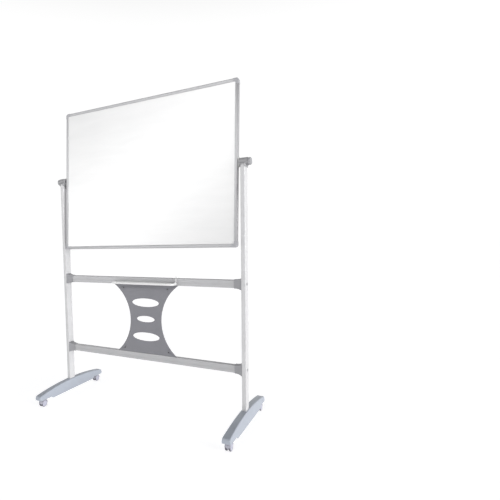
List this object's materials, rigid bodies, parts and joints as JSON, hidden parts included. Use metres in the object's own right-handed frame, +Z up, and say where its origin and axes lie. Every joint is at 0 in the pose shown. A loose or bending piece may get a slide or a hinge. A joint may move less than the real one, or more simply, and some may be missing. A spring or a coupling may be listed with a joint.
{
  "type": "rolling whiteboard",
  "caption": "Double-sided whiteboard that turns over between its posts, on a wheeled stand with a pen tray, a shaped centre plate and arched feet.",
  "frame": {"origin": "on the floor under the middle of the stand", "axes": "+X to the right seen from the front, -Y towards the front, where the pen tray is, and +Z up"},
  "size_m": [1.3376, 0.62, 1.8998],
  "materials": {
    "post_enamel": "pearl enamel, semi-gloss",
    "zinc_steel": "zinc plated",
    "zinc_screws": "zinc plated",
    "foot_plastic": "smooth, silver blue",
    "bar_aluminium": "satin anodised",
    "socket_plastic": "fine texture",
    "plate_enamel": "powder coated",
    "tray_plastic": "smooth",
    "head_plastic": "fine texture",
    "nylon": "natural",
    "frame_aluminium": "satin anodised",
    "corner_plastic": "smooth",
    "writing_enamel": "gloss white dry-wipe enamel",
    "core_board": "pressed fibre honeycomb core",
    "collar_plastic": "smooth",
    "knob_plastic": "fine texture",
    "hood_plastic": "smooth",
    "wheel_plastic": "nylon wheel with soft grey tread"
  },
  "bodies": {
    "stand": {"left_post": "post_enamel", "right_post": "post_enamel", "post_plugs": "zinc_steel", "left_foot_cover": "foot_plastic", "right_foot_cover": "foot_plastic", "left_foot_beam": "zinc_steel", "right_foot_beam": "zinc_steel", "foot_bolts": "zinc_screws", "upper_crossbar": "bar_aluminium", "lower_crossbar": "bar_aluminium", "upper_left_socket": "socket_plastic", "upper_right_socket": "socket_plastic", "lower_left_socket": "socket_plastic", "lower_right_socket": "socket_plastic", "crossbar_bolts": "zinc_screws", "centre_plate": "plate_enamel", "plate_brackets": "zinc_steel", "plate_screws": "zinc_screws", "pen_tray": "tray_plastic", "tray_screws": "zinc_screws", "left_pivot_head": "head_plastic", "right_pivot_head": "head_plastic", "pivot_bushes": "nylon", "head_screws": "zinc_screws", "caster_stems": "zinc_steel"},
    "board": {"frame_top_rail": "frame_aluminium", "frame_bottom_rail": "frame_aluminium", "frame_left_rail": "frame_aluminium", "frame_right_rail": "frame_aluminium", "corner_cap_top_left": "corner_plastic", "corner_cap_top_right": "corner_plastic", "corner_cap_bottom_left": "corner_plastic", "corner_cap_bottom_right": "corner_plastic", "front_writing_panel": "writing_enamel", "back_writing_panel": "writing_enamel", "board_core": "core_board", "left_pivot_shaft": "zinc_steel", "right_pivot_shaft": "zinc_steel", "pivot_collars": "collar_plastic", "friction_washers": "nylon", "flange_screws": "zinc_screws"},
    "left_knob": {"left_clamp_knob": "knob_plastic"},
    "right_knob": {"right_clamp_knob": "knob_plastic"},
    "front_left_caster": {"front_left_caster_hood": "hood_plastic", "front_left_caster_axle": "zinc_steel"},
    "front_left_caster_outer_wheel": {"front_left_caster_outer_wheel": "wheel_plastic"},
    "front_left_caster_inner_wheel": {"front_left_caster_inner_wheel": "wheel_plastic"},
    "front_right_caster": {"front_right_caster_hood": "hood_plastic", "front_right_caster_axle": "zinc_steel"},
    "front_right_caster_outer_wheel": {"front_right_caster_outer_wheel": "wheel_plastic"},
    "front_right_caster_inner_wheel": {"front_right_caster_inner_wheel": "wheel_plastic"},
    "rear_left_caster": {"rear_left_caster_hood": "hood_plastic", "rear_left_caster_axle": "zinc_steel"},
    "rear_left_caster_outer_wheel": {"rear_left_caster_outer_wheel": "wheel_plastic"},
    "rear_left_caster_inner_wheel": {"rear_left_caster_inner_wheel": "wheel_plastic"},
    "rear_right_caster": {"rear_right_caster_hood": "hood_plastic", "rear_right_caster_axle": "zinc_steel"},
    "rear_right_caster_outer_wheel": {"rear_right_caster_outer_wheel": "wheel_plastic"},
    "rear_right_caster_inner_wheel": {"rear_right_caster_inner_wheel": "wheel_plastic"}
  },
  "joints": [
    {"name": "board_turn", "type": "hinge", "parent": "stand", "child": "board", "pos_m": [0, 0, 1.453], "axis": [1, 0, 0], "continuous": true},
    {"name": "left_knob_turn", "type": "hinge", "parent": "board", "child": "left_knob", "pos_m": [-0.661, 0, 1.453], "axis": [-1, 0, 0], "range_deg": [0, 270]},
    {"name": "right_knob_turn", "type": "hinge", "parent": "board", "child": "right_knob", "pos_m": [0.661, 0, 1.453], "axis": [1, 0, 0], "range_deg": [0, 270]},
    {"name": "front_left_caster_swivel", "type": "hinge", "parent": "stand", "child": "front_left_caster", "pos_m": [-0.628, -0.253, 0.045], "axis": [0, 0, 1], "continuous": true},
    {"name": "front_left_caster_outer_wheel_roll", "type": "hinge", "parent": "front_left_caster", "child": "front_left_caster_outer_wheel", "pos_m": [-0.63825, -0.267, 0.022], "axis": [1, 0, 0], "continuous": true},
    {"name": "front_left_caster_inner_wheel_roll", "type": "hinge", "parent": "front_left_caster", "child": "front_left_caster_inner_wheel", "pos_m": [-0.61775, -0.267, 0.022], "axis": [1, 0, 0], "continuous": true},
    {"name": "front_right_caster_swivel", "type": "hinge", "parent": "stand", "child": "front_right_caster", "pos_m": [0.628, -0.253, 0.045], "axis": [0, 0, 1], "continuous": true},
    {"name": "front_right_caster_outer_wheel_roll", "type": "hinge", "parent": "front_right_caster", "child": "front_right_caster_outer_wheel", "pos_m": [0.63825, -0.267, 0.022], "axis": [1, 0, 0], "continuous": true},
    {"name": "front_right_caster_inner_wheel_roll", "type": "hinge", "parent": "front_right_caster", "child": "front_right_caster_inner_wheel", "pos_m": [0.61775, -0.267, 0.022], "axis": [1, 0, 0], "continuous": true},
    {"name": "rear_left_caster_swivel", "type": "hinge", "parent": "stand", "child": "rear_left_caster", "pos_m": [-0.628, 0.253, 0.045], "axis": [0, 0, 1], "continuous": true},
    {"name": "rear_left_caster_outer_wheel_roll", "type": "hinge", "parent": "rear_left_caster", "child": "rear_left_caster_outer_wheel", "pos_m": [-0.63825, 0.267, 0.022], "axis": [1, 0, 0], "continuous": true},
    {"name": "rear_left_caster_inner_wheel_roll", "type": "hinge", "parent": "rear_left_caster", "child": "rear_left_caster_inner_wheel", "pos_m": [-0.61775, 0.267, 0.022], "axis": [1, 0, 0], "continuous": true},
    {"name": "rear_right_caster_swivel", "type": "hinge", "parent": "stand", "child": "rear_right_caster", "pos_m": [0.628, 0.253, 0.045], "axis": [0, 0, 1], "continuous": true},
    {"name": "rear_right_caster_outer_wheel_roll", "type": "hinge", "parent": "rear_right_caster", "child": "rear_right_caster_outer_wheel", "pos_m": [0.63825, 0.267, 0.022], "axis": [1, 0, 0], "continuous": true},
    {"name": "rear_right_caster_inner_wheel_roll", "type": "hinge", "parent": "rear_right_caster", "child": "rear_right_caster_inner_wheel", "pos_m": [0.61775, 0.267, 0.022], "axis": [1, 0, 0], "continuous": true}
  ]
}
